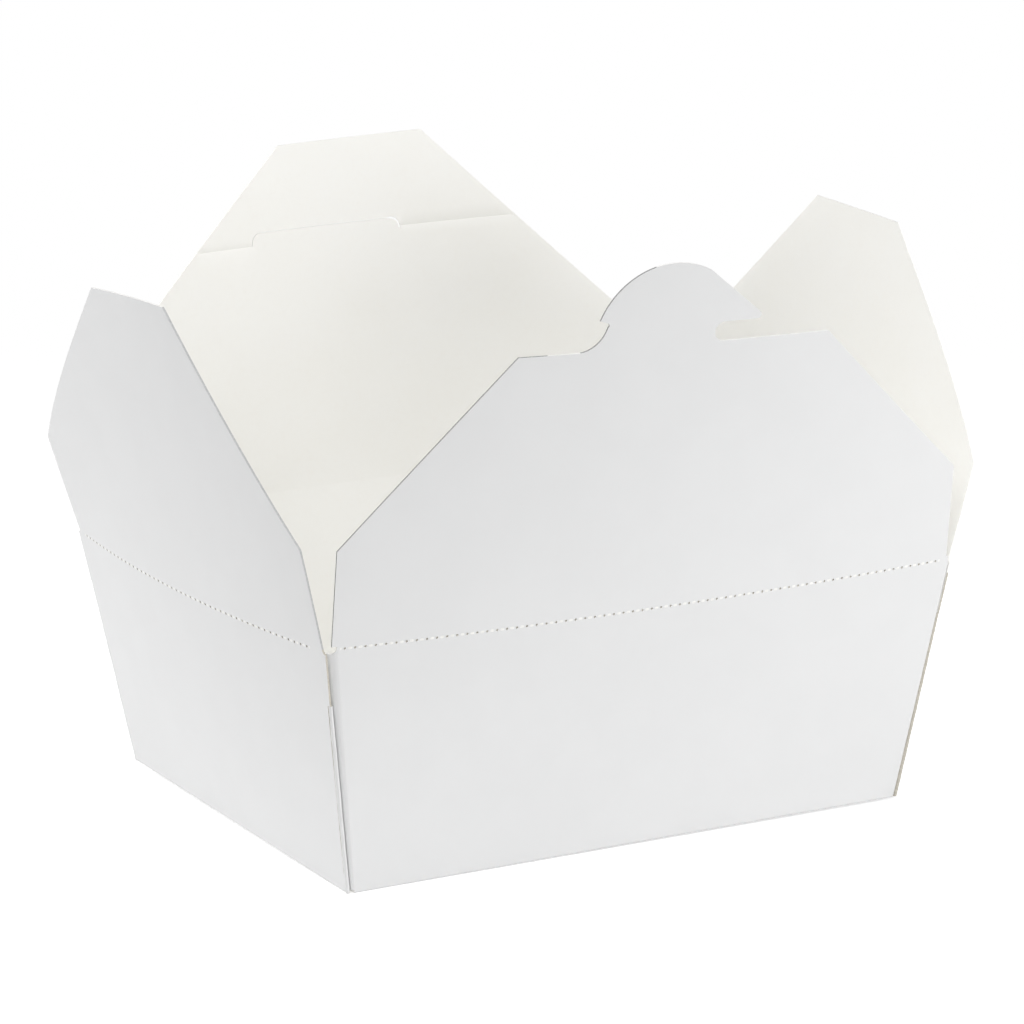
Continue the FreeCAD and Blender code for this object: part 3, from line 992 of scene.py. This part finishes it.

# %% [markdown]
# ## The folded corners
#
# At each corner a triangular web joins the long wall to the end wall. It is folded in half on
# its diagonal and lies inside the end wall. The half by the end wall is glued to it. The other
# half springs a little way open, and its edge is the soft round corner of the long wall. What
# shows from outside is that round corner, a rough bead where the board turns back on itself,
# and above the bead the end wall's plain cut edge. The cut edge, and the bead at the right end,
# carry a brown painted shade.


# %% Web halves
def web_lines():
    """Ends of the web's folds, as (across, up) on an end wall for its front corner."""
    end_flare = np.arctan((RIM_HALF_WIDTH - BOTTOM_HALF_WIDTH) / (END_HEIGHT / np.cos(END_LEAN)))
    long_flare = np.arctan((RIM_HALF_LENGTH - BOTTOM_HALF_LENGTH) / (LONG_HEIGHT / np.cos(LONG_LEAN)))
    half = (np.pi / 2 - end_flare - long_flare) / 2
    low = up_of(sides["left"], 0.0)
    full = np.hypot(RIM_HALF_WIDTH - BOTTOM_HALF_WIDTH, low)
    part = full - FREE_EDGE
    length = 2 * full * part * np.cos(half) / (full + part)
    turn = half - end_flare
    foot = np.array([-BOTTOM_HALF_WIDTH, low])
    inner = foot + length * np.array([np.sin(turn), np.cos(turn)])
    rim = np.array([-RIM_HALF_WIDTH, up_of(sides["left"], LONG_HEIGHT - NOTCH_DROP)])
    edge = np.array([-corner_place(FREE_FOOT, 0.0, 0.0)[1], up_of(sides["left"], FREE_FOOT)])
    return foot, inner, rim, edge


WEB_FOOT, WEB_INNER, WEB_RIM, WEB_EDGE = web_lines()


def beyond(across, up):
    """How far a place lies past the web's diagonal, times the diagonal's length."""
    run = WEB_INNER - WEB_FOOT
    return (across - WEB_FOOT[0]) * run[1] - (up - WEB_FOOT[1]) * run[0]


def opened(across, up):
    """Share of the spring at a place: none on the diagonal, all of it at the rim's corner."""
    return np.clip(beyond(-np.abs(across), up) / beyond(*WEB_RIM), 0.0, 1.0)


def sprung_half(side):
    """Surface of the web's free half, which springs away from the end wall towards the rim."""
    deep, spring = max(WEB_DEPTH[side.name], 2 * BOARD), max(WEB_SPRING[side.name], 0.0)
    return lambda across, up: side.wall(across, up, deep + spring * opened(across, up))


def glued_half(side):
    """Surface of the web's glued half, one board behind the end wall."""
    return lambda across, up: side.wall(across, up, BOARD)


# %% Crushed folds
WANDER = 0.10


def bead(name, start, end, radius, seed, toward, finish):
    """A crushed fold: a rod whose radius wanders a little, by smoothed noise, with closed ends."""
    rng = np.random.default_rng(seed)
    rows, columns = 60, 14
    rough = rng.normal(size=(rows, columns))
    rough = (rough + np.roll(rough, 1, 0) + np.roll(rough, 1, 1) + np.roll(rough, 2, 0)) / 4
    turn = np.linspace(0.0, 2 * np.pi, columns, endpoint=False)
    run = unit(end - start)
    side_way = unit(np.cross(run, toward))
    out_way = np.cross(side_way, run)
    spread = radius * (1.0 + WANDER * rough)
    middle = start + np.linspace(0.0, 1.0, rows)[:, None] * (end - start)
    ring = np.cos(turn)[None, :, None] * out_way + np.sin(turn)[None, :, None] * side_way
    points = (middle[:, None, :] + spread[..., None] * ring).reshape(-1, 3)
    around = np.arange(columns)
    following = (around + 1) % columns
    row_start = np.arange(rows - 1)[:, None] * columns
    first, after = (row_start + around).ravel(), (row_start + following).ravel()
    tube = np.c_[first, first + columns, after + columns, after]
    last = (rows - 1) * columns
    points = np.concatenate([points, [start, end]])
    caps = np.concatenate([
        np.c_[around, following, np.full(columns, len(points) - 2)],
        np.c_[following + last, around + last, np.full(columns, len(points) - 1)],
    ])
    # The caps take the brown painted shade.
    slots = [np.full(len(tube), finish), np.full(len(caps), BROWN_PAINTED_SHADE)]
    return crisp(new_mesh(name, points, [tube, caps], slots, points[:, [0, 2]]), 60.0)


# %% One web and one corner
WEB_GAP = 0.25 * MM
WEB_LATTICE = 5.0 * MM
DIAGONAL_START = 0.04
SIDE_BEAD_FOOT = 0.3 * MM
SIDE_BEAD_DEPTH = {"left": BOARD * 0.85, "right": BOARD * 0.5}
RIM_GAP = 0.35 * MM
WAYS = {"left": -1.0, "right": 1.0, "front": -1.0, "back": 1.0}


def web(end_name, long_name):
    """The web's two halves and the crushed fold between them, which follow the end wall."""
    side = sides[end_name]
    along_way, across_way = WAYS[end_name], WAYS[long_name]
    flip = np.array([-across_way, 1.0])
    low_inset = MIDDLE_RADIUS + WEB_GAP
    rim_inset = corner_radius(end_name, LONG_HEIGHT) + WEB_GAP
    halves = (
        ("sprung", low_inset, WEB_RIM + (rim_inset, 0.0), sprung_half(side), side.out),
        ("glued", BOARD, WEB_EDGE + (BOARD, 0.0), glued_half(side), -side.out),
    )
    parts = []
    for half_name, inset, top, surface, toward in halves:
        outline = np.array([WEB_FOOT + (inset, 0.0), top, WEB_INNER]) * flip
        flat, faces = cut_sheet(outline, spacing=WEB_LATTICE)
        parts.append(bent_sheet(half_name, flat, faces, surface, toward))
    ends = np.array([WEB_FOOT + (WEB_INNER - WEB_FOOT) * DIAGONAL_START, WEB_INNER]) * flip
    low, high = side.wall(*ends.T, 1.5 * BOARD)
    toward = np.array([-along_way, -across_way, 0.0])
    seed = 12 + int(along_way + 2 * across_way)
    parts.append(bead("diagonal_bead", low, high, BOARD, seed, toward, OUTSIDE))
    return joined_pieces(end_name + "_" + long_name + "_web", parts)


def corner(end_name, long_name):
    """The round corner of the long wall, and the crushed fold beside the end wall."""
    end_side, long_side = sides[end_name], sides[long_name]
    along_way, across_way = WAYS[end_name], WAYS[long_name]
    toward = np.array([along_way, across_way, 0.0])
    heights = np.array([SIDE_BEAD_FOOT, FREE_FOOT])
    x, y = corner_place(heights, SIDE_BEAD_DEPTH[end_name], BOARD)
    low, high = np.c_[along_way * x, across_way * y, heights]
    seed = 3 + int(along_way + 2 * across_way)
    # The right end's bead takes the brown painted shade; the left one keeps the coated outside.
    finish = OUTSIDE if end_name == "left" else BROWN_PAINTED_SHADE
    parts = [bead("side_bead", low, high, BOARD, seed, toward, finish)]
    heights = LIFT + (LONG_HEIGHT - RIM_GAP - LIFT) * np.linspace(0.0, 1.0, ROWS)
    depth = web_depth(end_name, heights)
    edge = long_half(end_name, heights)
    tiny = 0.05 * MM
    up = up_of(long_side, heights)
    start = long_side.wall(along_way * edge, up)
    leave = start - long_side.wall(along_way * (edge - tiny), up)
    fold_y = corner_place(heights, 0.0, BOARD / 2)[1] - corner_radius(end_name, heights)
    up = up_of(end_side, heights)
    end = end_side.wall(across_way * fold_y, up, depth)
    arrive = end_side.wall(across_way * (fold_y - tiny), up, depth) - end
    parts.append(folded_strip("round_corner", start, leave, end, arrive, toward, drop=NOTCH_DROP))
    return joined_pieces(end_name + "_" + long_name + "_corner", parts)


# %% Make the four corners
pairs = [(end_name, long_name) for end_name in ("left", "right") for long_name in ("front", "back")]
webs = {pair: web(*pair) for pair in pairs}
corners = [corner(*pair) for pair in pairs]
print("corners:", [(piece.name, len(piece.data.polygons)) for piece in corners])

# %% [markdown]
# ## How the box has settled
#
# A folded bottom is never quite flat. This one stands on its near corner, which is spread a
# little, and the far left corner has risen by about two millimetres. The same small shift fades
# out towards the rim, where the folds of the flaps hold their places.

# %% Settle the tray
# Shift of each bottom corner in millimetres, by the signs of its x and y.
SETTLED = {
    (-1, -1): (-2.3, -1.9, 0.0),
    (1, -1): (0.6, 0.0, 0.75),
    (-1, 1): (-0.2, 0.0, 2.2),
    (1, 1): (0.0, 0.0, 0.4),
}


def settle(piece):
    """Shifts a piece's points by the bottom corners' shifts, in proportion to their nearness."""
    count = len(piece.data.vertices)
    points = np.empty(count * 3, np.float32)
    piece.data.vertices.foreach_get("co", points)
    points = points.reshape(-1, 3).astype(float)
    x, y = points[:, 0] / BOTTOM_HALF_LENGTH, points[:, 1] / BOTTOM_HALF_WIDTH
    fade = np.clip(1.0 - points[:, 2] / END_HEIGHT, 0.0, 1.0)
    for (side_x, side_y), shift in SETTLED.items():
        near = np.clip((1 + side_x * x) / 2, 0, 1) * np.clip((1 + side_y * y) / 2, 0, 1)
        points += (near * fade)[:, None] * np.array(shift) * MM
    piece.data.vertices.foreach_set("co", points.astype(np.float32).ravel())
    piece.data.update()


for piece in (bottom, *walls.values(), *webs.values(), *corners):
    settle(piece)

# %% [markdown]
# ## What moves with what
#
# Walls, bottom and corners ride on the tray, and each flap on its own body. The spring of the
# board can't stay in it when a flap is folded down: a sheet that is bent along its fold has to
# be straight across it. So each flap flattens towards its own plane as it turns, and its wall
# and webs flatten with it, towards the plane from the fold to the settled edge of the bottom.

# %% Ride and flatten
flat_axis = {}
for name, side in sides.items():
    joint = name + "_flap_fold"
    near = [np.array(shift) for place, shift in SETTLED.items() if np.dot(place, side.out[:2]) > 0]
    outward = [shift @ side.out for shift in near]
    flat_axis[name] = tuple(side.normal(side.wall_lean - np.mean(outward) * MM / side.fold[2]))
    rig.ride(flaps[name], name + "_flap")
    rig.squash(flaps[name], joint, axis=tuple(side.normal(side.plane_lean)),
              anchor=tuple(side.fold), keep=0.12)
    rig.ride(walls[name], "tray")
    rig.squash(walls[name], joint, axis=flat_axis[name], anchor=tuple(side.fold), keep=0.12)
    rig.replaces(flaps[name], name + "_flap")
for (end_name, _), piece in webs.items():
    fold = tuple(sides[end_name].fold)
    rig.ride(piece, "tray")
    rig.squash(piece, end_name + "_flap_fold", axis=flat_axis[end_name], anchor=fold, keep=0.12)
for piece in (bottom, *corners):
    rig.ride(piece, "tray")
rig.replaces(bottom, "tray")
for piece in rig.pieces():
    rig.slot(piece, "coated_board")
print("pieces:", [piece.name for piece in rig.pieces()])

# %% [markdown]
# ## Floor, light and camera
#
# The box stands on a pale floor that fades out into a white room. The room is white to the camera
# but gives less light than it shows, and five wide soft lamps do the rest, so that the pale board
# keeps its shading and never burns out.

# %% Floor
FLOOR_RADIUS = 0.75
FADE_START, FADE_END = 0.16, 0.55


def make_floor():
    """A pale disc that fades to clear towards its edge, so that no horizon shows.

    It glows to the camera, which keeps it white there, and hardly lights the box.
    """
    count = 96
    around = np.arange(count)
    turn = np.linspace(0.0, 2 * np.pi, count, endpoint=False)
    points = np.c_[FLOOR_RADIUS * np.cos(turn), FLOOR_RADIUS * np.sin(turn), np.zeros(count)]
    points = np.concatenate([points, [(0.0, 0.0, 0.0)]])
    fan = np.c_[around, (around + 1) % count, np.full(count, count)]
    material, shader, place = new_material("pale_floor", 0.9)
    shader.inputs["Specular IOR Level"].default_value = 0.1
    shader.inputs["Emission Strength"].default_value = 1.0
    seen = node(place.tree, "ShaderNodeLightPath", output="Is Camera Ray")
    connect(mixed(seen, grey(0.06), grey(0.55)), shader.inputs["Emission Color"])
    tone = noise(place, 30.0)
    connect(mixed(tone, grey(0.97), grey(0.98)), shader.inputs["Base Color"])
    length = dict(operation="LENGTH")
    distance = node(place.tree, "ShaderNodeVectorMath", length, output="Value", Vector=place)
    connect(1.0 - distance.step(FADE_START, FADE_END), shader.inputs["Alpha"])
    floor = new_mesh("floor", points, [fan], [np.zeros(count)], finishes=[material])
    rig.stage(floor)
    return floor


print("floor:", make_floor().name)


# %% Room light
def make_room(level):
    """A world that shows white to the camera, and lights at a lower level."""
    world = bpy.data.worlds.new("room")
    bpy.context.scene.world = world
    world.use_nodes = True
    tree = world.node_tree
    tree.nodes.clear()
    seen = node(tree, "ShaderNodeLightPath", output="Is Camera Ray")
    light = node(tree, "ShaderNodeBackground", Color=grey(1.0), Strength=level)
    white = node(tree, "ShaderNodeBackground", Color=grey(1.0), Strength=1.0)
    final = tree.nodes.new("ShaderNodeMixShader")
    for place, value in zip(final.inputs, (seen, light, white)):
        connect(value, place)
    exit_node = tree.nodes.new("ShaderNodeOutputWorld")
    tree.links.new(final.outputs[0], exit_node.inputs[0])


make_room(0.25)


# %% Lamps
def posed(name, data, right, over, away, place):
    """An object on three axes of its own and a place, linked to the scene."""
    made = bpy.data.objects.new(name, data)
    turn = np.eye(4)
    turn[:3, 0], turn[:3, 1], turn[:3, 2], turn[:3, 3] = right, over, away, place
    made.matrix_world = Matrix(turn.tolist())
    bpy.context.scene.collection.objects.link(made)
    return made


def lamp(name, place, target, size, power):
    """A wide soft lamp that faces a target."""
    data = bpy.data.lights.new(name, "AREA")
    data.shape = "RECTANGLE"
    data.size, data.size_y = size, size
    data.energy = power
    away = unit(np.array(place, float) - np.array(target, float))
    right = unit(np.cross(UP, away))
    made = posed(name, data, right, np.cross(away, right), away, place)
    made.visible_camera = False
    return made


# Name, place, target, width and power in watts.
LAMPS = [
    ("left_back", (-0.8, 0.55, 0.5), (0.0, 0.0, 0.08), 0.5, 2.4),
    ("left_top_front", (-0.5, -0.8, 1.0), (0.0, 0.0, 0.08), 0.8, 8.0),
    ("left_near", (-0.42, 0.38, 0.12), (-0.06, 0.02, 0.06), 0.3, 0.88),
    ("top_near", (-0.05, -0.05, 0.65), (0.0, 0.0, 0.08), 0.5, 0.8),
    ("right_low", (0.6, -0.5, 0.10), (0.03, -0.03, 0.06), 0.4, 3.2),
]
print("lamps:", [lamp(*values).name for values in LAMPS])


# %% Camera
FRAME_PIXELS = 1024.0
FOCAL_PIXELS = 6367.64
SENSOR_WIDTH = 36.0


def make_camera():
    """The camera as fitted to the folds and corners of the photographed box."""
    data = bpy.data.cameras.new("camera")
    data.sensor_fit = "HORIZONTAL"
    data.sensor_width = SENSOR_WIDTH
    data.lens = FOCAL_PIXELS / FRAME_PIXELS * SENSOR_WIDTH
    data.clip_start, data.clip_end = 0.1, 20.0
    yaw, pitch, roll = 0.499032, 0.244647, 0.006462
    sideways, downward, distance = -0.12514 * MM, 68.76611 * MM, 1607.39757 * MM
    away = np.array([np.sin(yaw) * np.cos(pitch), np.cos(yaw) * np.cos(pitch), -np.sin(pitch)])
    level = np.array([np.cos(yaw), -np.sin(yaw), 0.0])
    down = np.cross(away, level)
    right = np.cos(roll) * level + np.sin(roll) * down
    under = -np.sin(roll) * level + np.cos(roll) * down
    place = -(sideways * right + downward * under + distance * away)
    made = posed("camera", data, right, -under, -away, place)
    bpy.context.scene.camera = made
    return made


camera = make_camera()
bpy.context.scene.view_settings.view_transform = "Standard"
print("camera at", [round(value, 3) for value in camera.matrix_world.translation])

# %% [markdown]
# ## Sizes, and the end
#
# The finished model has to stay close to the solid one, so both boxes are written down.

# %% Finish
new_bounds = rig.bounds()
with open("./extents.json", "w") as handle:
    json.dump({"cad": [list(map(float, corner)) for corner in cad_bounds],
               "visual": [list(map(float, corner)) for corner in new_bounds]}, handle)
print("cad", cad_bounds, "visual", new_bounds)
